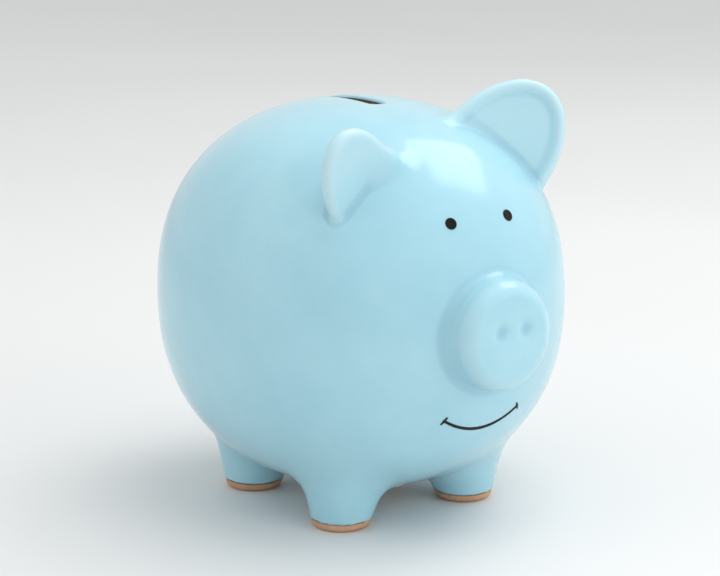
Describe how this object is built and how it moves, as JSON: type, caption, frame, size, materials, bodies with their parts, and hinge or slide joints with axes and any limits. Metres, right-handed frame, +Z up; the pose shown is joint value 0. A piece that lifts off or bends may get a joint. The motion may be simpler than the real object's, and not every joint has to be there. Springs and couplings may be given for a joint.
{
  "type": "piggy bank",
  "caption": "Hollow glazed ceramic piggy bank with upright cupped ears, a flat round snout, stub legs with bare clay feet, a coin slot on the spine and a pull-out rubber stopper",
  "frame": {"origin": "on the floor, under the middle of the bounding box; the soles stand on z = 0", "axes": "+Z up; the pig faces -Y; +X is the pig's left, and the form is mirrored across x = 0 apart from the tail's curl"},
  "size_m": [0.1284, 0.1554, 0.1376],
  "materials": {
    "sky_glaze": "gloss",
    "bare_clay": "matte",
    "dark_enamel": "gloss",
    "stopper_rubber": "satin"
  },
  "bodies": {
    "bank": {"body_shell": "sky_glaze", "snout": "sky_glaze", "left_ear": "sky_glaze", "right_ear": "sky_glaze", "front_left_leg": "sky_glaze", "front_right_leg": "sky_glaze", "rear_left_leg": "sky_glaze", "rear_right_leg": "sky_glaze", "tail": "sky_glaze", "front_left_sole": "bare_clay", "front_right_sole": "bare_clay", "rear_left_sole": "bare_clay", "rear_right_sole": "bare_clay", "left_eye": "dark_enamel", "right_eye": "dark_enamel", "smile": "dark_enamel"},
    "stopper": {"stopper": "stopper_rubber"}
  },
  "joints": [
    {"name": "stopper_pull", "type": "slide", "parent": "bank", "child": "stopper", "axis": [0, 0, -1], "range_m": [0, 0.03]}
  ]
}
